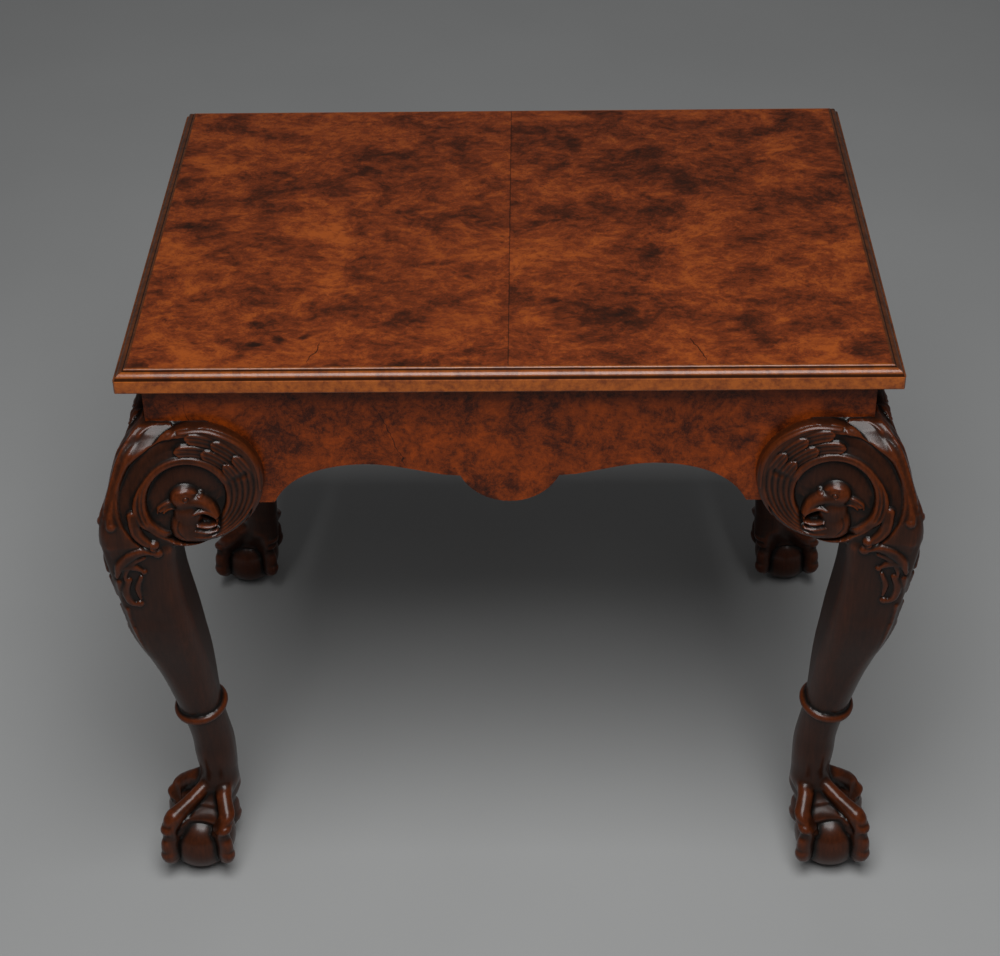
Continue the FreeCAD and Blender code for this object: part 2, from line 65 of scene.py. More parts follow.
# Lowest and highest level of the carving, and how far a knee may stand out
CARVED_FROM = -160.0
CARVED_TO = 86.0
KNEE_REACH = 42.4

# Ball of a foot, in mm, and the toes that hold it: at each rise in degrees, from the tip of the claw up, how far
# a toe stands from the ball's centre and its half-width
BALL_RADIUS = 31.0
BALL_HEIGHT = 30.0
BALL_CENTRE = (1.5, 1.5, BALL_HEIGHT - RAIL_BOTTOM)
TOE_RISE = (-27, -20, -10, 0, 16, 28, 41)
TOE_STAND = (31.0, 38.5, 43.0, 44.6, 44.0, 46.0, 50.5)
TOE_HALF = (2.0, 5.6, 7.6, 8.2, 7.4, 7.2, 7.8)
TOE_RADIUS = 40.0
# Knuckles and the creases between them: place, spread and height. Low on a toe by rise, higher up by level in mm
LOW_KNUCKLES = ((35, 5.0, 0.8), (26, 3.0, -0.7), (17, 5.0, 1.0), (6.5, 3.0, -0.6), (-4, 5.0, 0.5))
HIGH_KNUCKLES = ((54, 2.2, -0.7), (58, 3.0, 0.7), (64, 2.2, -0.8), (69, 3.0, 0.6))

# Cell of the carved mesh, in mm, the share of its faces that is kept, and where a leg is sawn from its ears
VOXEL = 1.3
FACES_KEPT = 0.4
JOINT_LINE = POST + 0.4


def linear(code):
    """Linear colour from an sRGB hex value."""
    channels = [int(code[i:i + 2], 16) / 255 for i in (1, 3, 5)]
    return [c / 12.92 if c <= 0.04045 else ((c + 0.055) / 1.055) ** 2.4 for c in channels] + [1.0]


def add(tree, kind, inputs=None, stops=None, **settings):
    """Adds a node with its settings. An input is a value or the output socket that feeds it."""
    made = tree.nodes.new(kind)
    for name, value in settings.items():
        setattr(made, name, value)
    for name, value in (inputs or {}).items():
        if isinstance(value, bpy.types.NodeSocket):
            tree.links.new(value, made.inputs[name])
        else:
            made.inputs[name].default_value = value
    if stops:
        ramp = made.color_ramp.elements
        while len(ramp) < len(stops):
            ramp.new(0.5)
        for element, (place, code) in zip(ramp, stops):
            element.position = place
            element.color = linear(code)
    return made


def start_material(name):
    material = bpy.data.materials.new(name)
    material.use_nodes = True
    tree = material.node_tree
    tree.nodes.clear()
    shader = add(tree, "ShaderNodeBsdfPrincipled")
    add(tree, "ShaderNodeOutputMaterial", {"Surface": shader.outputs["BSDF"]})
    place = add(tree, "ShaderNodeTexCoord").outputs["Object"]
    return material, tree, shader, place


def burr_veneer(name, light, middle, dark, knot, stretch, two_leaves, marks):
    """Burr walnut veneer, French polished: cloudy patches full of small dark knots, under a soft gloss."""
    material, tree, shader, place = start_material(name)
    laid, tone = place, 0.0
    if two_leaves:
        # the right leaf is the left one turned over, from 10 mm deeper in the burr, with a dark seam between them
        parts = add(tree, "ShaderNodeSeparateXYZ", {0: place})
        across = add(tree, "ShaderNodeMath", {0: parts.outputs["X"]}, operation="ABSOLUTE")
        right = add(tree, "ShaderNodeMath", {0: parts.outputs["X"], 1: 0.0}, operation="GREATER_THAN")
        deeper = add(tree, "ShaderNodeMath", {0: right.outputs[0], 1: 0.01}, operation="MULTIPLY")
        laid = add(tree, "ShaderNodeCombineXYZ",
                   {0: across.outputs[0], 1: parts.outputs["Y"], 2: deeper.outputs[0]}).outputs[0]
        seam = add(tree, "ShaderNodeMapRange", {"Value": across.outputs[0], "From Min": 0.0002, "From Max": 0.0006,
                                                "To Min": -0.09, "To Max": 0.0})
        tone = add(tree, "ShaderNodeMath", {0: right.outputs[0], 1: -0.012, 2: seam.outputs[0]},
                   operation="MULTIPLY_ADD").outputs[0]
    laid = add(tree, "ShaderNodeVectorMath", {0: laid, 1: stretch}, operation="MULTIPLY").outputs[0]
    # the grain wanders: places are pushed about by two noises, 90 mm and 20 mm across
    wandering = laid
    for size, push in ((0.09, 0.035), (0.02, 0.006)):
        noise = add(tree, "ShaderNodeTexNoise", {"Vector": laid, "Scale": 1 / size, "Detail": 2.0})
        centred = add(tree, "ShaderNodeVectorMath", {0: noise.outputs["Color"], 1: (0.5, 0.5, 0.5)},
                      operation="SUBTRACT")
        wandering = add(tree, "ShaderNodeVectorMath", {0: centred.outputs[0], 1: (push, push, push), 2: wandering},
                        operation="MULTIPLY_ADD").outputs[0]
    # clouds, patches, mottling and fine specks, from 85 mm down to 1.5 mm
    for grain, share, detail in ((0.085, 0.3, 2.0), (0.022, 0.32, 5.0), (0.006, 0.24, 4.0), (0.0015, 0.14, 2.0)):
        noise = add(tree, "ShaderNodeTexNoise", {"Vector": wandering, "Scale": 1 / grain, "Detail": detail,
                                                 "Roughness": 0.6, "Distortion": 0.4})
        tone = add(tree, "ShaderNodeMath", {0: noise.outputs["Fac"], 1: share, 2: tone},
                   operation="MULTIPLY_ADD").outputs[0]
    # single knots, cracks and let-in patches: centre and half-sizes in mm, turn in degrees, soft or crisp edge
    uneven = add(tree, "ShaderNodeVectorMath", {0: centred.outputs[0], 1: (0.012, 0.012, 0.012), 2: place},
                 operation="MULTIPLY_ADD").outputs[0]
    for centre, half, turn, edge, lift in marks:
        spot = add(tree, "ShaderNodeMapping", {"Vector": uneven, "Location": [c * MM for c in centre],
                                               "Rotation": [math.radians(a) for a in turn],
                                               "Scale": [h * MM for h in half]}, vector_type="TEXTURE")
        off = add(tree, "ShaderNodeVectorMath", {0: spot.outputs[0]}, operation="LENGTH")
        change = add(tree, "ShaderNodeMapRange", {"Value": off.outputs["Value"], "From Min": edge, "From Max": 1.0,
                                                  "To Min": lift, "To Max": 0.0})
        tone = add(tree, "ShaderNodeMath", {0: change.outputs[0], 1: tone}, operation="ADD").outputs[0]
    colour = add(tree, "ShaderNodeValToRGB", {"Fac": tone},
                 stops=((0.37, knot), (0.44, dark), (0.51, middle), (0.6, light)))
    # eyes: the pin knots of the burr, in clusters, 9 mm apart
    eyes = add(tree, "ShaderNodeTexVoronoi", {"Vector": wandering, "Scale": 1 / 0.009})
    cluster = add(tree, "ShaderNodeTexNoise", {"Vector": laid, "Scale": 1 / 0.06, "Detail": 2.0})
    size = add(tree, "ShaderNodeMapRange", {"Value": cluster.outputs["Fac"], "From Min": 0.42, "From Max": 0.7,
                                            "To Min": 0.02, "To Max": 0.26})
    soft = add(tree, "ShaderNodeMapRange", {"Value": eyes.outputs["Distance"], "From Min": 0.0,
                                            "From Max": size.outputs[0], "To Min": 0.8, "To Max": 0.0})
    spotted = add(tree, "ShaderNodeMixRGB", {"Fac": soft.outputs[0], "Color1": colour.outputs["Color"],
                                             "Color2": linear(knot)})
    tree.links.new(spotted.outputs["Color"], shader.inputs["Base Color"])
    rough = add(tree, "ShaderNodeMapRange", {"Value": tone, "From Min": 0.35, "From Max": 0.65,
                                             "To Min": 0.46, "To Max": 0.34})
    tree.links.new(rough.outputs[0], shader.inputs["Roughness"])
    bump = add(tree, "ShaderNodeBump", {"Height": tone, "Strength": 0.12, "Distance": 0.0006})
    tree.links.new(bump.outputs[0], shader.inputs["Normal"])
    shader.inputs["Specular IOR Level"].default_value = 0.18
    shader.inputs["Coat Weight"].default_value = 0.14
    shader.inputs["Coat Roughness"].default_value = 0.16
    return material


def straight_grain(tree, place, along, width):
    """Fine streaks along the grain, of this width in metres."""
    stretch = [1.0, 1.0, 1.0]
    stretch["XYZ".index(along)] = 0.06
    drawn = add(tree, "ShaderNodeVectorMath", {0: place, 1: stretch}, operation="MULTIPLY").outputs[0]
    return add(tree, "ShaderNodeTexNoise", {"Vector": drawn, "Scale": 1 / width, "Detail": 5.0, "Roughness": 0.6,
                                            "Distortion": 0.3})


def sawn_oak(name, along):
    """Plain oak, sawn and left bare: dull fine streaks along the grain, slow changes of tone and small dark specks."""
    material, tree, shader, place = start_material(name)
    streak = straight_grain(tree, place, along, 0.005)
    cloud = add(tree, "ShaderNodeTexNoise", {"Vector": place, "Scale": 1 / 0.03, "Detail": 3.0})
    tone = 0.0
    for noise, share in ((streak, 0.6), (cloud, 0.4)):
        tone = add(tree, "ShaderNodeMath", {0: noise.outputs["Fac"], 1: share, 2: tone},
                   operation="MULTIPLY_ADD").outputs[0]
    colour = add(tree, "ShaderNodeValToRGB", {"Fac": tone}, stops=((0.38, "#5f452b"), (0.6, "#8a6a45")))
    flecks = add(tree, "ShaderNodeTexNoise", {"Vector": place, "Scale": 1 / 0.0035, "Detail": 3.0})
    fleck = add(tree, "ShaderNodeMapRange", {"Value": flecks.outputs["Fac"], "From Min": 0.56, "From Max": 0.68,
                                             "To Min": 1.0, "To Max": 0.8})
    shaded = add(tree, "ShaderNodeVectorMath", {0: colour.outputs["Color"], "Scale": fleck.outputs[0]},
                 operation="SCALE")
    tree.links.new(shaded.outputs[0], shader.inputs["Base Color"])
    bump = add(tree, "ShaderNodeBump", {"Height": streak.outputs["Fac"], "Strength": 0.2, "Distance": 0.0003})
    tree.links.new(bump.outputs[0], shader.inputs["Normal"])
    shader.inputs["Roughness"].default_value = 0.6
    shader.inputs["Specular IOR Level"].default_value = 0.3
    return material


def walnut_moulding(name, along, edge, light, dark):
    """Cross-grained walnut moulding, French polished: painted shade darkens the members above the band, and painted
    shade lies as dark lines in its two steps.
    """
    material, tree, shader, place = start_material(name)
    streak = straight_grain(tree, place, along, 0.003)
    mottle = add(tree, "ShaderNodeTexNoise", {"Vector": place, "Scale": 1 / 0.012, "Detail": 5.0, "Roughness": 0.65})
    half_streak = add(tree, "ShaderNodeMath", {0: streak.outputs["Fac"], 1: 0.4}, operation="MULTIPLY")
    tone = add(tree, "ShaderNodeMath", {0: mottle.outputs["Fac"], 1: 0.6, 2: half_streak.outputs[0]},
               operation="MULTIPLY_ADD")
    colour = add(tree, "ShaderNodeValToRGB", {"Fac": tone.outputs[0]}, stops=((0.38, dark), (0.58, light)))
    # distance in from the outer edge, where the steps lie 2 mm and 7.5 mm in
    parts = add(tree, "ShaderNodeSeparateXYZ", {0: place})
    out = add(tree, "ShaderNodeMath", {0: parts.outputs[along]}, operation="ABSOLUTE")
    inward = add(tree, "ShaderNodeMath", {0: edge * MM, 1: out.outputs[0]}, operation="SUBTRACT")
    # painted shade: above the band's top the colour is darkened to 0.6 of itself
    shade = add(tree, "ShaderNodeMapRange",
                {"Value": parts.outputs["Z"], "From Min": (BAND_TOP - 0.3) * MM, "From Max": (BAND_TOP + 0.3) * MM,
                 "To Min": 1.0, "To Max": 0.6}).outputs[0]
    # painted shade: a dark line along each step, where the shadow lies in the groove
    for line in (2.0, 7.55):
        off = add(tree, "ShaderNodeMath", {0: inward.outputs[0], 1: line * MM}, operation="SUBTRACT")
        beside = add(tree, "ShaderNodeMath", {0: off.outputs[0]}, operation="ABSOLUTE")
        painted_step_shade = add(tree, "ShaderNodeMapRange", {"Value": beside.outputs[0], "From Min": 0.35 * MM, "From Max": 0.8 * MM,
                                               "To Min": 0.15, "To Max": 1.0})
        shade = add(tree, "ShaderNodeMath", {0: painted_step_shade.outputs[0], 1: shade}, operation="MULTIPLY").outputs[0]
    shaded = add(tree, "ShaderNodeVectorMath", {0: colour.outputs["Color"], "Scale": shade}, operation="SCALE")
    tree.links.new(shaded.outputs[0], shader.inputs["Base Color"])
    rough = add(tree, "ShaderNodeMapRange", {"Value": tone.outputs[0], "From Min": 0.35, "From Max": 0.65,
                                             "To Min": 0.4, "To Max": 0.28})
    tree.links.new(rough.outputs[0], shader.inputs["Roughness"])
    bump = add(tree, "ShaderNodeBump", {"Height": streak.outputs["Fac"], "Strength": 0.12, "Distance": 0.0003})
    tree.links.new(bump.outputs[0], shader.inputs["Normal"])
    shader.inputs["Specular IOR Level"].default_value = 0.25
    shader.inputs["Coat Weight"].default_value = 0.4
    shader.inputs["Coat Roughness"].default_value = 0.1
    return material


def carved_walnut():
    """Carved walnut, stained and waxed: the hollows darkened, as painted shade together with the dark wax left there,
    and high places rubbed orange-brown.
    """
    material, tree, shader, place = start_material("carved_walnut_waxed")
    hollow_shade_and_wax = add(tree, "ShaderNodeAttribute", attribute_name="hollow_shade_and_wax").outputs["Fac"]
    tone = add(tree, "ShaderNodeTexNoise", {"Vector": place, "Scale": 1 / 0.03, "Detail": 4.0})
    stretched = add(tree, "ShaderNodeVectorMath", {0: place, 1: (1.0, 1.0, 0.08)}, operation="MULTIPLY").outputs[0]
    grain = add(tree, "ShaderNodeTexNoise", {"Vector": stretched, "Scale": 1 / 0.0022, "Detail": 4.0,
                                             "Roughness": 0.6})
    # painted shade: the deeper a point lies in a hollow, the darker its colour, together with the dark wax there
    uneven = add(tree, "ShaderNodeMath", {0: tone.outputs["Fac"], 1: 0.22, 2: hollow_shade_and_wax}, operation="MULTIPLY_ADD")
    colour = add(tree, "ShaderNodeValToRGB", {"Fac": uneven.outputs[0]},
                 stops=((0.3, "#4e220c"), (0.48, "#3a1a0a"), (0.61, "#2d1408"), (0.9, "#0d0603")))
    streak = add(tree, "ShaderNodeMapRange", {"Value": grain.outputs["Fac"], "From Min": 0.3, "From Max": 0.7,
                                              "To Min": 0.72, "To Max": 1.22})
    shaded = add(tree, "ShaderNodeVectorMath", {0: colour.outputs["Color"], "Scale": streak.outputs[0]},
                 operation="SCALE")
    tree.links.new(shaded.outputs[0], shader.inputs["Base Color"])
    rough = add(tree, "ShaderNodeMapRange", {"Value": hollow_shade_and_wax, "From Min": 0.3, "From Max": 0.8,
                                             "To Min": 0.36, "To Max": 0.6})
    tree.links.new(rough.outputs[0], shader.inputs["Roughness"])
    bump = add(tree, "ShaderNodeBump", {"Height": grain.outputs["Fac"], "Strength": 0.15, "Distance": 0.0003})
    tree.links.new(bump.outputs[0], shader.inputs["Normal"])
    shader.inputs["Specular IOR Level"].default_value = 0.1
    shader.inputs["Coat Weight"].default_value = 0.4
    shader.inputs["Coat Roughness"].default_value = 0.2
    return material


def bright_steel():
    """Turned steel screws: fine marks from the lathe and a grey, slightly dull shine."""
    material, tree, shader, place = start_material("steel_turned")
    tooling = add(tree, "ShaderNodeTexNoise", {"Vector": place, "Scale": 1 / 0.0015, "Detail": 3.0})
    colour = add(tree, "ShaderNodeValToRGB", {"Fac": tooling.outputs["Fac"]},
                 stops=((0.35, "#6a6862"), (0.65, "#96938c")))
    tree.links.new(colour.outputs["Color"], shader.inputs["Base Color"])
    shader.inputs["Metallic"].default_value = 1.0
    shader.inputs["Roughness"].default_value = 0.38
    return material


# Carving, drawn on a knee's face in mm: s inward from the frieze's corner, r up from the rail's lower edge
def ease(low, high, value):
    t = np.clip((value - low) / (high - low), 0.0, 1.0)
    return t * t * (3 - 2 * t)


def face_out(s, r):
    """How far the roundel's uncarved face stands out from the frieze."""
    knee = np.interp(r, LEVELS, KNEE_FACE)
    rail = np.interp(r, LEVELS, RAIL_FACE)
    return knee + (rail - knee) * (s - KNEE_SIDE) / (RAIL_SIDE - KNEE_SIDE)


def curve_points(points, steps=6):
    """A smooth line through the points."""
    p = np.array([points[0]] + list(points) + [points[-1]], float)
    t = np.linspace(0, 1, steps, endpoint=False)[:, None]
    spans = []
    for a, b, c, d in zip(p, p[1:], p[2:], p[3:]):
        spans.append(b + 0.5 * t * (c - a + t * (2 * a - 5 * b + 4 * c - d + t * (3 * (b - c) + d - a))))
    return np.vstack(spans + [p[-1:]])


def nearest(s, r, points):
    """Distance to a smooth line through the points, and the share of the way along it."""
    path = curve_points(points)
    best = np.full(s.shape, 1e6)
    share = np.zeros(s.shape)
    for i, ((ax, ay), (bx, by)) in enumerate(zip(path, path[1:])):
        dx, dy = bx - ax, by - ay
        t = np.clip(((s - ax) * dx + (r - ay) * dy) / (dx * dx + dy * dy), 0.0, 1.0)
        away = np.hypot(s - ax - dx * t, r - ay - dy * t)
        closer = away < best
        best = np.where(closer, away, best)
        share = np.where(closer, (i + t) / (len(path) - 1), share)
    return best, share


def ridge(s, r, points, widths, height, flat=2.0):
    """Strand along a line, with half-widths from its start to its end: half-round, or flatter on top."""
    away, share = nearest(s, r, points)
    half = np.interp(share, np.linspace(0, 1, len(widths)), widths)
    return height * np.sqrt(np.clip(1 - (away / half) ** flat, 0.0, 1.0))


def boss(s, r, centre, half, height, turn=0.0):
    """Rounded lump with half-sizes across and up, turned by some degrees."""
    c, n = math.cos(math.radians(turn)), math.sin(math.radians(turn))
    x = ((s - centre[0]) * c + (r - centre[1]) * n) / half[0]
    y = ((r - centre[1]) * c - (s - centre[0]) * n) / half[1]
    return height * np.sqrt(np.clip(1 - x * x - y * y, 0.0, 1.0))


def bumps(value, rows):
    """Sum of soft bumps and creases, each given by its place, spread and height."""
    return sum(height * np.exp(-((value - place) / spread) ** 2) for place, spread, height in rows)


def merge(a, b, soft):
    """The higher of two forms, with a fillet where they meet."""
    near = np.clip(1 - np.abs(a - b) / soft, 0.0, 1.0)
    return np.maximum(a, b) + 0.25 * soft * near ** 2


def head_height(s, r, floor):
    """Bird's head and neck, standing up from the sunk field to these heights above the roundel's face."""
    height = floor
    soft = 2.2
    for centre, half, top in (
        ((28.0, 22.0), (12.0, 11.0), 3.9),
        ((31.0, 10.0), (13.0, 15.0), 3.1),
        ((28.0, -3.5), (13.0, 17.0), 2.5),
        ((36.0, -11.0), (18.0, 9.5), 1.6),
    ):
        height = merge(height, floor - soft + boss(s, r, centre, half, top - floor + soft), soft)
    soft = 1.0
    for points, widths, top, flat in (
        (((31, 19), (40, 17.5), (47.5, 12), (52.5, 4)), (6.5, 7.0, 5.5, 2.6), 3.5, 2.2),
        (((35, 8.5), (42, 10), (49, 6.5), (52.5, 0)), (2.4, 3.0, 2.8, 1.5), 3.8, 2.2),
        (((37, -2.5), (45, -5), (52, -3.5)), (1.6, 2.4, 1.4), 2.7, 2.0),
        (((35, -7), (44, -10), (52, -9)), (1.4, 2.2, 1.4), 2.2, 2.0),
        (((34, -12), (43, -14.5), (50, -14)), (1.2, 2.0, 1.2), 1.8, 2.0),
        (((21, 17), (15, 16), (9, 12)), (6.0, 4.6, 2.0), -1.4, 2.0),
        (((20, 19.5), (13.5, 18.5), (7.5, 14.5), (6.5, 10.5)), (1.8, 1.6, 1.4, 0.8), -0.9, 2.0),
        (((20, 13.5), (15, 13), (11, 10)), (1.6, 1.4, 0.9), -1.0, 2.0),
    ):
        height = merge(height, floor - soft + ridge(s, r, points, widths, top - floor + soft, flat), soft)
    # open mouth, with the tongue inside
    height = height - boss(s, r, (46.3, 2.4), (6.6, 3.7), 4.6, -25)
    height = height + boss(s, r, (45.8, 0.8), (3.8, 1.3), 1.2, -20)
    # brow, eye in its lids, and nostril
    height = height + ridge(s, r, ((22, 28), (31, 29), (38, 25.5)), (1.0, 1.8, 1.0), 0.7)
    height = height - boss(s, r, (29.9, 22.8), (4.2, 3.0), 1.0, -10)
    lids = np.hypot(s - 29.9, (r - 22.8) * 1.25)
    height = height + 0.7 * np.exp(-((lids - 3.1) / 0.6) ** 2) + boss(s, r, (29.9, 22.8), (1.9, 1.9), 1.4)
    height = height + boss(s, r, (41.0, 24.2), (2.8, 2.5), 1.5)
    # crease behind the cheek
    return height - ridge(s, r, ((23, 4), (21.5, -5), (27, -13)), (0.5, 1.0, 0.5), 0.6)


def scales(rho, theta, first, spacing, length, last):
    """Rows of scale feathers, each standing proud at its rounded tip, with ribs along it; and where they lie."""
    row = np.floor((rho - first) / spacing)
    across = ((rho - first) / spacing - row - 0.5) * 2
    middle = first + (row + 0.5) * spacing
    place = np.radians(theta - last) * middle / length + 0.5 * np.mod(row, 2) + 0.3 * across ** 2
    height = 1.5 * np.mod(place, 1.0) ** 0.7 - 0.8 * across ** 6 + 0.28 * np.cos(3 * np.pi * across) - 0.4
    return height, ease(-0.005, 0.005, -place)


def roundel(s, r):
    """Height of the carving above the roundel's uncarved face, and where it holds."""
    ds, dr = s - FIELD[0], r - FIELD[1]
    rho = np.hypot(ds, dr)
    theta = np.degrees(np.arctan2(dr, ds))
    turn = np.mod(theta, 360.0)
    # distance from the field's centre to the roundel's edge, in each direction
    cx, cy = DISC[0] - FIELD[0], DISC[1] - FIELD[1]
    toward = (ds * cx + dr * cy) / np.maximum(rho, 0.01)
    edge = toward + np.sqrt(toward ** 2 + DISC_RADIUS ** 2 - cx * cx - cy * cy)

    # cove between the rims, sloping out to a steep far wall, then feathers over part of it
    cove = np.clip((rho - 37.5) / 16.0, 0.0, 1.0)
    height = -4.2 * np.interp(cove, (0.0, 0.08, 0.5, 0.86, 1.0), (0.0, 0.2, 0.55, 1.0, 0.0))
    long_band = np.clip((rho - FIELD_RADIUS) / np.maximum(edge - 3.0 - FIELD_RADIUS, 1.0), 0.0, 1.0)
    quills = 1.1 * np.abs(np.sin(np.pi * 6 * long_band)) ** 0.7 - 0.9
    feather, laid = scales(rho, theta, 37.0, 10.4, 21.0, 99.0)
    within = 1 - ease(edge - 4.5, edge - 3.0, rho)
    on_scales = ease(16, 26, turn) * (turn < 130) * laid * (1 - ease(57.4, 57.8, rho)) * within
    on_quills = np.maximum(1 - ease(16, 26, turn), ease(250, 262, turn)) * within
    height = height * (1 - on_scales) + feather * on_scales
    height = height * (1 - on_quills) + quills * on_quills

    # inner rim, widening into strands beside the corner
    widen = ease(140, 187, turn) * (1 - ease(187, 236, turn))
    outer = 37.5 + 4.5 * widen
    middle, half = (FIELD_RADIUS + outer) / 2, (outer - FIELD_RADIUS) / 2
    rim = 1.7 * np.sqrt(np.clip(1 - ((rho - middle) / half) ** 4, 0.0, 1.0))
    for groove in (34.2, 37.6):
        rim = rim - 1.0 * widen * np.exp(-((rho - groove) / 0.8) ** 2)
    on_rim = ease(15, 40, turn) * (1 - ease(205, 222, turn))
    height = np.where((rho > FIELD_RADIUS) & (rho < outer), height * (1 - on_rim) + rim * on_rim, height)

    # thin bead along the roundel's edge, outer rim from the feathers over to the corner, and the inner rim's tail
    bead, far = [[(FIELD[0] + d * math.cos(math.radians(a)), FIELD[1] + d * math.sin(math.radians(a)))
                  for a, d in places]
                 for places in (((2, 58.4), (25, 62), (45, 63), (70, 61), (92, 57.2)),
                                ((99, 57.4), (112, 57.8), (140, 58), (160, 58.5), (180, 61), (194, 61)))]
    tail = ((-12.9, 11.5), (-10.8, -3.3), (-4, -13), (1.7, -16.5))
    for points, widths, top in ((bead, (1.5, 1.7, 1.7, 1.7, 1.5), 0.9),
                                (far, (4.6, 5.2, 5.2, 5.2, 5.0, 4.0), 1.6),
                                (tail, (4.6, 4.8, 4.0, 2.8), 1.5)):
        height = np.maximum(height, ridge(s, r, points, widths, top + 2.0, 4.0) - 2.0)
    for centre, size in ((far[-1], 4.8), (tail[-1], 4.6)):
        height = np.maximum(height, boss(s, r, centre, (size, size), 4.6) - 2.0)

    # sunk field with the bird's head
    floor = -3.4 - 0.6 * np.clip(rho / FIELD_RADIUS, 0.0, 1.0) ** 2
    head = head_height(s, r, floor)
    inside = 1 - ease(FIELD_RADIUS - 1.2, FIELD_RADIUS + 0.4, rho)
    neck = ease(-14, -2, -r) * ease(10, 18, s) * (1 - ease(52, 60, s))
    inside = np.maximum(inside, neck * (1 - ease(34, 42, rho)))
    height = height * (1 - inside) + head * inside

    # roll over the roundel's edge where it stands clear of the knee
    off = np.hypot(s - DISC[0], r - DISC[1])
    clear = np.maximum(ease(4, 20, s), ease(60, 76, r))
    over = np.clip((off - DISC_RADIUS + 5.5) / 5.5, 0.0, 1.0)
    height = height - clear * 5.5 * (1 - np.sqrt(1 - over ** 2))
    return height, off, clear


def rim_and_reeds(s, r):
    """Outer rim on the part of the knee that faces up, and reeds that follow it on its far side."""
    rho = np.hypot(s - FIELD[0], r - FIELD[1])
    turn = np.mod(np.degrees(np.arctan2(r - FIELD[1], s - FIELD[0])), 360.0)
    hold = ease(96, 102, turn) * (1 - ease(150, 165, turn))
    rim = 1.7 * np.sqrt(np.clip(1 - ((rho - 58.0) / 5.2) ** 4, 0.0, 1.0))
    reeds = (1.3 * np.abs(np.cos(np.pi * (rho - 63.4) / 4.4)) - 0.9) * ease(62.8, 64.0, rho)
    return rim * hold, reeds * hold


LOWER_SCROLLS = (
    (((3, -24), (-6, -21), (-18, -25), (-27, -34), (-31, -46)), (3.0, 4.4, 5.0, 4.4, 1.4), 2.6),
    (((-8, -28), (-17, -32), (-23, -40), (-25, -50)), (2.2, 3.0, 2.8, 1.2), 1.9),
    (((-24, -36), (-16, -37), (-9, -42)), (3.0, 3.4, 1.4), 2.2),
    (((-22, -50), (-26, -62), (-24, -74), (-17, -78)), (2.8, 3.6, 3.2, 2.2), 2.3),
    (((-30, -52), (-34, -68), (-33, -86), (-29, -104)), (3.0, 4.0, 3.6, 1.0), 2.3),
    (((-28, -84), (-28, -100), (-24, -122)), (2.2, 3.2, 0.8), 2.0),
    (((-25, -106), (-23, -126), (-18, -147)), (1.8, 2.6, 0.6), 1.7),
    (((-12, -48), (-16, -60), (-15, -72)), (1.8, 2.8, 1.0), 1.8),
)
BUDS = (((3.5, -24.5), 4.4), ((-16.5, -77.0), 3.6), ((-9.0, -42.5), 2.8))


def lower_knee(s, r):
    """Leaf scrolls below the roundel, left standing where the ground is cut back."""
    ground = 0.9 * ease(-112.0, -96.0, r) * (1 - ease(-6.0, 8.0, s))
    height = np.zeros(s.shape)
    for points, widths, top in LOWER_SCROLLS:
        height = np.maximum(height, ridge(s, r, points, widths, top, 2.6))
    for centre, size in BUDS:
        height = np.maximum(height, boss(s, r, centre, (size, size), 2.8))
    return height - ground


def deselect():
    bpy.ops.object.select_all(action="DESELECT")


def make_active(piece):
    deselect()
    piece.select_set(True)
    bpy.context.view_layer.objects.active = piece


def open_piece(piece):
    """Puts a piece in edit mode, with all of it selected."""
    make_active(piece)
    bpy.ops.object.mode_set(mode="EDIT")
    bpy.ops.mesh.select_all(action="SELECT")


def close_piece():
    bpy.ops.object.mode_set(mode="OBJECT")


def face_outwards(piece):
    open_piece(piece)
    bpy.ops.mesh.normals_make_consistent(inside=False)
    close_piece()


def apply_modifier(piece, kind, **settings):
    """Adds a modifier with its settings and applies it."""
    made = piece.modifiers.new(kind.lower(), kind)
    for name, value in settings.items():
        setattr(made, name, value)
    make_active(piece)
    bpy.ops.object.modifier_apply(modifier=made.name)


def read(mesh):
    flat = np.empty(len(mesh.vertices) * 3)
    mesh.vertices.foreach_get("co", flat)
    return flat.reshape(-1, 3)


def write(mesh, places):
    mesh.vertices.foreach_set("co", places.ravel())
    mesh.update()


def vertex_normals(mesh):
    flat = np.empty(len(mesh.vertices) * 3)
    mesh.vertex_normals.foreach_get("vector", flat)
    return flat.reshape(-1, 3)


def face_vectors(mesh, name):
    """Centres or normals of the faces."""
    flat = np.empty(len(mesh.polygons) * 3)
    mesh.polygons.foreach_get(name, flat)
    return flat.reshape(-1, 3)


def corner_places(places):
    """Places as inward from the front-left corner of the frieze, back from it, and up from the rail's edge, in mm."""
    return places / MM + np.array((FRIEZE_X, FRIEZE_Y, -RAIL_BOTTOM))


def table_places(local):
    return (local - np.array((FRIEZE_X, FRIEZE_Y, -RAIL_BOTTOM))) * MM


def blank_for_head(swap):
    """Extra wood over the sunk field, from which the head is carved."""
    bpy.ops.mesh.primitive_uv_sphere_add(segments=48, ring_count=24, radius=1.0)
    piece = bpy.context.active_object
    ball = read(piece.data)
    radius, half_depth, sunk = 43.0, 15.0, 6.0
    local = np.empty_like(ball)
    local[:, 0] = FIELD[0] + ball[:, 0] * radius
    local[:, 2] = FIELD[1] + ball[:, 1] * radius
    local[:, 1] = -(face_out(local[:, 0], local[:, 2]) - sunk + ball[:, 2] * half_depth)
    if swap:
        local = local[:, [1, 0, 2]]
    write(piece.data, table_places(local))
    face_outwards(piece)
    return piece


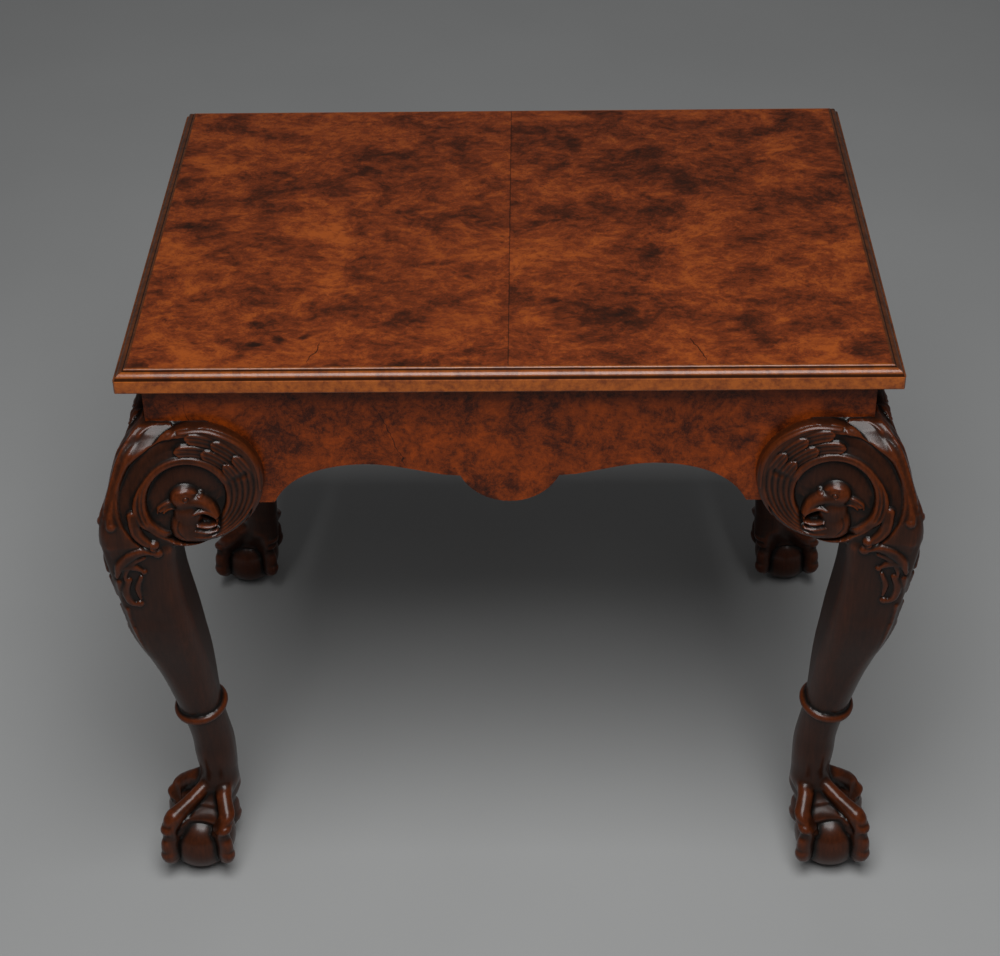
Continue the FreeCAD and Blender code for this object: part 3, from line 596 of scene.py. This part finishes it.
def blank_for_corner():
    """Extra wood up the corner of the knee, where the roundels of its two faces meet."""
    heights = (-20.0, -5.0, 10.0, 25.0, 40.0, 55.0, 66.0, 74.0, 79.5)
    bpy.ops.mesh.primitive_cube_add(size=1.0)
    piece = bpy.context.active_object
    bpy.ops.object.mode_set(mode="EDIT")
    for plane in range(1, len(heights) - 1):
        bpy.ops.mesh.select_all(action="SELECT")
        level = -0.5 + plane / (len(heights) - 1)
        bpy.ops.mesh.bisect(plane_co=(0, 0, level), plane_no=(0, 0, 1))
    close_piece()
    cube = read(piece.data)
    r = np.array(heights)[np.round((cube[:, 2] + 0.5) * (len(heights) - 1)).astype(int)]
    back = 20.0
    # the blank runs out below into the knee and rolls back above to the frieze
    lost = np.maximum(0.0, r - 60.0) ** 2 / 45.0
    below = np.maximum(0.0, 30.0 - r)
    slope = face_out(0.0, r) - face_out(1.0, r)
    corner = face_out(0.0, r) / (1 - slope) - 1.0 - lost - 0.12 * below
    side = face_out(back, r) - 2.0 - lost - 0.06 * below
    left, front = cube[:, 0] < 0, cube[:, 1] < 0
    u = np.where(left, np.where(front, -corner, -side), back)
    v = np.where(front, np.where(left, -corner, -side), back)
    write(piece.data, table_places(np.stack((u, v, r), axis=1)))
    return piece


def blank_for_foot():
    """Extra wood round the ball, from which the toes and the skin between them are carved."""
    bpy.ops.mesh.primitive_uv_sphere_add(segments=48, ring_count=24, radius=1.0)
    piece = bpy.context.active_object
    ball = read(piece.data)
    radius, rise = 43.0, 24.0
    upright = np.where(ball[:, 2] > 0, rise, BALL_HEIGHT)
    local = ball * np.stack((np.full(len(ball), radius), np.full(len(ball), radius), upright), axis=1)
    write(piece.data, table_places(local + np.array(BALL_CENTRE)))
    return piece


def edge_ends(mesh):
    ends = np.empty(len(mesh.edges) * 2, np.int64)
    mesh.edges.foreach_get("vertices", ends)
    return ends.reshape(-1, 2).T


def neighbours_mean(ends, values):
    """Mean of each point's neighbours along the edges."""
    a, b = ends
    size = len(values)
    count = np.maximum(np.bincount(a, minlength=size) + np.bincount(b, minlength=size), 1)
    columns = [(np.bincount(a, column[b], size) + np.bincount(b, column[a], size)) / count for column in values.T]
    return np.stack(columns, axis=1)


def soften(mesh, weight, rounds):
    """Rubs the surface down, by a weight from 0 to 1 at each point."""
    places, ends = read(mesh), edge_ends(mesh)
    for _ in range(rounds):
        places += (neighbours_mean(ends, places) - places) * weight[:, None]
    write(mesh, places)


def carve(piece):
    """Cuts the roundels, the bird's head and the leaf scrolls into both faces of the knee."""
    mesh = piece.data
    # the corner of the knee is rounded over first
    u, v, r = corner_places(read(mesh)).T
    soften(mesh, 0.5 * (u + v < 0) * (r > CARVED_FROM) * (1 - ease(2.0, 6.0, np.abs(u - v))), 14)
    local = corner_places(read(mesh))
    normals = vertex_normals(mesh)
    moved = local.copy()
    for near, far in ((0, 1), (1, 0)):
        s, out, r = local[:, near], -local[:, far], local[:, 2]
        facing = -normals[:, far]
        # a face ends at the corner line, where its height fades into the reeds
        beyond = s + out
        mine = (beyond > 0) & (out > 3.0) & (r > CARVED_FROM) & (r < CARVED_TO)
        s, out, r, facing, beyond = s[mine], out[mine], r[mine], facing[mine], beyond[mine]
        fade = ease(0.0, 7.0, beyond)
        flat = ease(3.0, 20.0, beyond)
        height, off, clear = roundel(s, r)
        target = face_out(s, r) + height * fade
        inner = 1 - ease(43.0, 46.0, off)
        mask = np.maximum(inner, ease(0.2, 0.5, facing))
        mask = mask * (1 - clear * ease(DISC_RADIUS, DISC_RADIUS + 0.3, off))
        mask = mask * ease(-27.0, -16.0, r) * (1 - ease(78.0, 82.0, r) * (1 - clear))
        low = lower_knee(s, r) * ease(0.1, 0.4, facing) * fade * (1 - ease(-20.0, -14.0, r))
        rim, reeds = rim_and_reeds(s, r)
        low = low + height * fade * mask * (1 - flat)
        low = low + (rim * (1 - ease(0.2, 0.5, facing)) + reeds) * ease(4.0, 9.0, beyond)
        mask = mask * flat
        index = np.nonzero(mine)[0]
        moved[index, far] -= (target - out) * mask
        moved[index] += normals[index] * low[:, None]
    # reeds up the corner, between the two roundels
    u, v, r = local.T
    across = (u - v) / math.sqrt(2)
    on_corner = (u + v < 0) & (r > 25) & (r < 84)
    reeds = 1.1 * np.abs(np.cos(np.pi * across / 5.0)) - 0.4
    hold = ease(30, 42, r) * (1 - ease(74, 82, r)) * (1 - ease(5.5, 8.0, np.abs(across))) * on_corner
    moved += normals * (reeds * hold)[:, None]
    # nothing stands further out than the knee itself
    moved[:, :2] = np.maximum(moved[:, :2], -KNEE_REACH)
    write(mesh, table_places(moved))
    carved = (r > CARVED_FROM - 5.0) & (r < CARVED_TO)
    beside = carved * (u + v < 0) * (1 - ease(8.0, 14.0, np.abs(across)))
    soften(mesh, 0.5 * beside, 3)
    soften(mesh, 0.5 * beside * (1 - ease(2.5, 5.0, np.abs(across))), 20)
    soften(mesh, 0.3 * carved, 1)


def carve_foot(piece):
    """Four toes with bony joints and claws, and a skin between them that ends in an arch over the ball."""
    mesh = piece.data
    local = corner_places(read(mesh))
    from_ball = local - np.array(BALL_CENTRE)
    reach = np.linalg.norm(from_ball, axis=1)
    rise = np.degrees(np.arcsin(np.clip(from_ball[:, 2] / np.maximum(reach, 0.01), -1, 1)))
    bearing = np.degrees(np.arctan2(from_ball[:, 1], from_ball[:, 0]))
    mine = (reach < 62) & (local[:, 2] + RAIL_BOTTOM < 84)
    climb = np.radians(rise)
    # how far round from the middle of the foot's side, and which sides face outwards
    aside = np.radians(45.0 - np.abs(np.mod(bearing, 90.0) - 45.0))
    outward = (bearing < -45) | (bearing > 135)

    def along(tilt):
        """Share of a direction from the ball's centre that lies along the middle of its side, tilted up."""
        return np.sin(climb) * np.sin(tilt) + np.cos(climb) * np.cos(tilt) * np.cos(aside)

    # toes stand at the foot's four corners; the two side toes bend in towards the ankle as they rise
    bend = np.interp(rise, (36, 50, 63), (0, 17, 39))
    off_toe = np.min([np.abs(np.mod(bearing - line + 180.0, 360.0) - 180.0)
                      for line in (-135.0, 45.0, bend - 45.0, 135.0 - bend)], axis=0)
    across = np.radians(off_toe) * TOE_RADIUS * np.cos(climb)
    beside_toe = across * reach / TOE_RADIUS
    stand = np.interp(rise, TOE_RISE, TOE_STAND) + bumps(rise, LOW_KNUCKLES)
    half = np.interp(rise, TOE_RISE, TOE_HALF)
    toe = BALL_RADIUS + (stand - BALL_RADIUS) * np.sqrt(np.clip(1 - np.abs(across / half) ** 2.2, 0.0, 1.0))
    # the skin ends in a round arch, higher on the two sides of the foot that face outwards
    from_front = along(np.radians(np.where(outward, 14.0, 2.0)))
    beyond = np.degrees(np.arccos(np.clip(from_front, -1.0, 1.0))) - np.where(outward, 48.0, 43.0)
    arch = ease(-1.2, 1.2, beyond)
    skin = BALL_RADIUS + 2.8 * arch * ease(0.0, 10.0, rise)
    # higher up the leg's own surface goes on, cut back to the ball inside the arch and to a slope above it
    slope = 30.2 / np.maximum(along(math.radians(35.0)), 0.4)
    web = np.where(outward, np.maximum(skin, np.minimum(reach, slope) * arch),
                   skin + np.maximum(reach - skin, 0.0) * ease(1.0, 15.0, beyond))
    on_toe = 1 - ease(7.5, 10.5, across * 1.15)
    upper = ease(28.0, 41.0, rise)
    higher = web * (1 - on_toe) + np.maximum(web, reach) * on_toe
    shape = np.where(mine, np.maximum(toe, skin) * (1 - upper) + higher * upper, reach)
    local = from_ball * (shape / np.maximum(reach, 0.01))[:, None] + np.array(BALL_CENTRE)
    local[:, 2] = np.maximum(local[:, 2], -RAIL_BOTTOM)
    write(mesh, table_places(local))
    crisp = np.exp(-(beyond / 2.5) ** 2) * (across > 9.0)
    ball_shows = (beyond < -2.0) * (across > 9.0)
    foot = (reach < 80) * (1 - ease(96.0, 106.0, local[:, 2] + RAIL_BOTTOM))
    soften(mesh, 0.5 * ease(27.0, 36.0, rise) * foot * (1 - crisp) * (1 - ball_shows), 30)
    on_web = outward * mine * ease(2.0, 6.0, beyond) * ease(4.5, 7.0, beside_toe) * (rise > 40)
    soften(mesh, 0.5 * on_web, 40)
    # knuckles on the upper part of the toes
    knuckle = bumps(local[:, 2] + RAIL_BOTTOM, HIGH_KNUCKLES) * (1 - ease(4.5, 7.5, beside_toe)) * mine * (rise > 20)
    write(mesh, read(mesh) + vertex_normals(mesh) * (knuckle * MM)[:, None])


def note_hollows(mesh):
    """Keeps with each point how deep it lies below the surface around it, for the painted shade and the wax in the
    hollows and the wear on the high places.
    """
    places = read(mesh)
    # a coarse part of the mesh moves less in each round, so that the reach in mm is the same all over
    ends = edge_ends(mesh)
    length = np.linalg.norm(places[ends[0]] - places[ends[1]], axis=1)
    total = np.bincount(ends[0], length, len(places)) + np.bincount(ends[1], length, len(places))
    count = np.bincount(ends[0], minlength=len(places)) + np.bincount(ends[1], minlength=len(places))
    weight = np.clip((VOXEL / 2 * MM * count / np.maximum(total, 1e-9)) ** 2, 0.0, 1.0)[:, None]
    smoothed = places.copy()
    for _ in range(40):
        smoothed += (neighbours_mean(ends, smoothed) - smoothed) * weight
    depth = ((smoothed - places) * vertex_normals(mesh)).sum(1) / MM
    attribute = mesh.attributes.new("hollow_shade_and_wax", "FLOAT", "POINT")
    attribute.data.foreach_set("value", np.clip(0.5 + 0.5 * depth / 0.9, 0.0, 1.0))


def carved_corner():
    """The front left leg with its two ears as one block of wood, carved."""
    blocks = []
    for name in ("leg_front_left", "ear_front_left_on_front", "ear_front_left_on_left"):
        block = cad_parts[name].copy()
        block.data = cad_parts[name].data.copy()
        bpy.context.scene.collection.objects.link(block)
        block.parent = None
        for key in list(block.keys()):
            del block[key]
        open_piece(block)
        bpy.ops.mesh.remove_doubles(threshold=0.00001)
        close_piece()
        blocks.append(block)
    blocks += [blank_for_head(False), blank_for_head(True), blank_for_corner(), blank_for_foot()]
    deselect()
    for block in blocks:
        block.select_set(True)
    bpy.context.view_layer.objects.active = blocks[0]
    bpy.ops.object.join()
    piece = bpy.context.active_object
    piece.data.materials.clear()
    apply_modifier(piece, "REMESH", mode="VOXEL", voxel_size=VOXEL * MM)

    # twice as fine where the carving is
    mesh = piece.data
    facing_u, facing_v, _ = face_vectors(mesh, "normal").T
    u, v, r = corner_places(face_vectors(mesh, "center")).T
    outer = ((v < -2) & (facing_v < -0.2) & (u > v - 12)) | ((u < -2) & (facing_u < -0.2) & (v > u - 12))
    chosen = (outer & (r > -150) & (r < 84)) | (r < 80 - RAIL_BOTTOM)
    mesh.polygons.foreach_set("select", chosen)
    make_active(piece)
    bpy.context.tool_settings.mesh_select_mode = (False, False, True)
    bpy.ops.object.mode_set(mode="EDIT")
    bpy.ops.mesh.subdivide(number_cuts=1)
    close_piece()
    carve(piece)
    carve_foot(piece)
    # fewer faces where the surface is plain
    apply_modifier(piece, "DECIMATE", ratio=FACES_KEPT)
    # the feet end level on the floor
    places = read(piece.data)
    places[:, 2] = np.maximum(places[:, 2], 0.0)
    write(piece.data, places)
    note_hollows(piece.data)
    return piece


def cut_away(piece, axis, place, keep_high):
    """Saws a piece through at this place along X or Y and drops one part."""
    point = [0.0, 0.0, 0.0]
    point[axis] = place
    square = [0.0, 0.0, 0.0]
    square[axis] = 1.0
    open_piece(piece)
    bpy.ops.mesh.bisect(plane_co=point, plane_no=square, use_fill=True, clear_inner=keep_high,
                        clear_outer=not keep_high)
    close_piece()


def copy_piece(piece, name):
    copy = piece.copy()
    copy.data = piece.data.copy()
    copy.name = name
    copy.data.name = name
    bpy.context.scene.collection.objects.link(copy)
    return copy


def carved_legs(material):
    """Saws the carved corner into its leg and two ears, and mirrors them to the four corners of the table."""
    whole = carved_corner()
    cut_x = (JOINT_LINE - FRIEZE_X) * MM
    cut_y = (JOINT_LINE - FRIEZE_Y) * MM
    leg = copy_piece(whole, "carved_leg")
    on_end = copy_piece(whole, "carved_ear_on_end")
    on_flank = copy_piece(whole, "carved_ear_on_flank")
    cut_away(leg, 0, cut_x, False)
    cut_away(leg, 1, cut_y, False)
    cut_away(on_end, 0, cut_x, True)
    cut_away(on_flank, 1, cut_y, True)
    bpy.data.objects.remove(whole)
    for corner, signs in CORNERS.items():
        end, flank = corner.split("_")
        mirror = Matrix.Diagonal((-signs[0], -signs[1], 1, 1))
        for source, node in ((leg, "leg_" + corner), (on_end, "ear_" + corner + "_on_" + end),
                             (on_flank, "ear_" + corner + "_on_" + flank)):
            piece = copy_piece(source, "carved_" + node)
            piece.data.transform(mirror)
            piece.data.materials.clear()
            piece.data.materials.append(material)
            face_outwards(piece)
            bpy.ops.object.shade_smooth_by_angle(angle=math.radians(50))
            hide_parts(node)
            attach(piece, "root")
    for source in (leg, on_end, on_flank):
        bpy.data.objects.remove(source)


def dress(names, material):
    for name in names:
        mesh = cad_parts[name].data
        mesh.materials.clear()
        mesh.materials.append(material)


# Marks in the veneer: centre and half-sizes in mm, turn in degrees, where the soft edge starts, and change of tone
TOP_MARKS = (
    # two short cracks from the front edge
    ((-151, -198, TOP), (20, 0.6, 9), (0, 0, 77), 0.5, -0.2),
    ((148, -196, TOP), (21, 0.6, 9), (0, 0, 105), 0.5, -0.2),
    # knots near the front on the left
    ((-203, -157, TOP), (11, 7, 9), (0, 0, 0), 0.3, -0.1),
    ((-200, -186, TOP), (9, 5, 9), (0, 0, 15), 0.3, -0.13),
    ((-181, -180, TOP), (8, 6, 9), (0, 0, -20), 0.3, -0.13),
    ((-162, -175, TOP), (7, 5, 9), (0, 0, 30), 0.3, -0.13),
    ((-224, -182, TOP), (8, 9, 9), (0, 0, 0), 0.2, -0.08),
    # dark and honey-coloured places in the burr
    ((-214, 78, TOP), (30, 34, 9), (0, 0, 25), 0.1, -0.07),
    ((-267, 3, TOP), (32, 9, 9), (0, 0, -4), 0.2, -0.08),
    ((-108, 60, TOP), (24, 26, 9), (0, 0, 0), 0.1, -0.05),
    ((-268, 128, TOP), (26, 22, 9), (0, 0, 10), 0.1, 0.05),
    ((-16, -122, TOP), (17, 34, 9), (0, 0, 0), 0.1, 0.06),
    ((160, 190, TOP), (42, 18, 9), (0, 0, -8), 0.2, -0.08),
    ((121, -45, TOP), (22, 18, 9), (0, 0, 30), 0.1, -0.06),
    ((240, 140, TOP), (16, 14, 9), (0, 0, 0), 0.1, 0.06),
    # patches let in at the front edge and the front corners
    ((-70, -220, TOP), (19, 17, 9), (0, 0, 0), 0.9, -0.045),
    ((-291, -215, TOP), (20, 12, 9), (0, 0, -50), 0.9, -0.06),
    ((278, -190, TOP), (24, 21, 9), (0, 0, 0), 0.85, -0.05),
)
FRONT_MARKS = (
    # two joints in the front's veneer
    ((-253, -FRIEZE_Y, 470), (45, 20, 0.5), (0, 88, 0), 0.4, -0.15),
    ((-93, -FRIEZE_Y, 468), (42, 20, 0.5), (0, 68, 0), 0.4, -0.13),
)


def dress_nodes():
    top = burr_veneer("burr_walnut_top_polished", "#8c4418", "#672c11", "#421b0a", "#200e06",
                      (0.8, 1.1, 1.0), True, TOP_MARKS)
    frieze = burr_veneer("burr_walnut_frieze_polished", "#973f0a", "#742f09", "#4a1c07", "#260f06",
                         (1.6, 1.6, 1.6), False, FRONT_MARKS)
    edge_long = walnut_moulding("walnut_moulding_polished_long", "Y", TOP_DEPTH / 2, "#a9581a", "#743510")
    # painted shade: the side mouldings are a darker copy of the same walnut as the front and back
    edge_short_painted_shade = walnut_moulding("walnut_moulding_polished_short_painted_shade", "X", TOP_WIDTH / 2, "#6a3613", "#43210d")
    oak_long = sawn_oak("oak_sawn_long", "X")
    oak_short = sawn_oak("oak_sawn_short", "Y")
    dress(("top_veneer_left", "top_veneer_right"), top)
    dress(("frieze_veneer_front", "frieze_veneer_back", "frieze_veneer_left", "frieze_veneer_right"), frieze)
    dress(("moulding_front", "moulding_back"), edge_long)
    dress(("moulding_left", "moulding_right"), edge_short_painted_shade)
    dress(("rail_front", "rail_back", "top_core"), oak_long)
    dress(["rail_left", "rail_right"] + ["corner_block_" + corner for corner in CORNERS], oak_short)
    dress(("top_screws",), bright_steel())


def studio():
    """Pale grey paper on the floor, with soft light from overhead and a little from the front and the back."""
    bpy.ops.mesh.primitive_plane_add(size=14.0)
    floor = bpy.context.active_object
    floor.name = "floor"
    material, tree, shader, place = start_material("studio_paper")
    paper = add(tree, "ShaderNodeTexNoise", {"Vector": place, "Scale": 1 / 0.4, "Detail": 3.0})
    colour = add(tree, "ShaderNodeValToRGB", {"Fac": paper.outputs["Fac"]},
                 stops=((0.3, "#969797"), (0.7, "#9a9b9b")))
    tree.links.new(colour.outputs["Color"], shader.inputs["Base Color"])
    shader.inputs["Roughness"].default_value = 0.85
    floor.data.materials.append(material)

    scene = bpy.context.scene
    world = bpy.data.worlds.new("studio")
    scene.world = world
    world.use_nodes = True
    world.node_tree.nodes["Background"].inputs["Color"].default_value = linear("#c8c9cb")
    world.node_tree.nodes["Background"].inputs["Strength"].default_value = 0.12
    for name, place, aim, width, length, power, mirrored in (
        ("overhead", (0.0, -1.0, 2.3), (0.0, -0.1, 0.4), 1.3, 1.5, 52.0, True),
        ("front_high", (0.2, -2.0, 2.3), (0.0, 0.0, 0.3), 0.8, 0.6, 6.5, True),
        ("back_low", (0.0, 3.6, 1.3), (0.0, 0.0, 0.3), 1.6, 1.0, 8.0, False),
    ):
        lamp = bpy.data.lights.new(name, "AREA")
        lamp.shape = "RECTANGLE"
        lamp.size = width
        lamp.size_y = length
        lamp.energy = power
        holder = bpy.data.objects.new(name, lamp)
        holder.matrix_world = (Matrix.Translation(place)
                               @ (Vector(aim) - Vector(place)).to_track_quat("-Z", "Y").to_matrix().to_4x4())
        holder.visible_glossy = mirrored
        scene.collection.objects.link(holder)


def photo_camera():
    """Camera at the photograph's viewing angle: above the table and almost square to its front."""
    place = (0.0200967, -1.6117636, 1.4398323)
    pitch, yaw, roll = 0.62536, -0.0199247, -0.0170114
    ahead = Vector((math.sin(yaw), math.cos(yaw), 0))
    side = Vector((math.cos(yaw), -math.sin(yaw), 0))
    up = Vector((0, 0, 1))
    look = ahead * math.cos(pitch) - up * math.sin(pitch)
    rise = ahead * math.sin(pitch) + up * math.cos(pitch)
    right = side * math.cos(roll) + rise * math.sin(roll)
    top = rise * math.cos(roll) - side * math.sin(roll)
    data = bpy.data.cameras.new("photo_camera")
    data.sensor_width = 36.0
    data.lens = 77.58
    data.clip_end = 50.0
    camera = bpy.data.objects.new("photo_camera", data)
    camera.matrix_world = Matrix.Translation(place) @ Matrix((right, top, -look)).transposed().to_4x4()
    bpy.context.scene.collection.objects.link(camera)
    bpy.context.scene.camera = camera
    bpy.context.scene.view_settings.view_transform = "Standard"


deselect()
dress_nodes()
carved_legs(carved_walnut())
studio()
photo_camera()
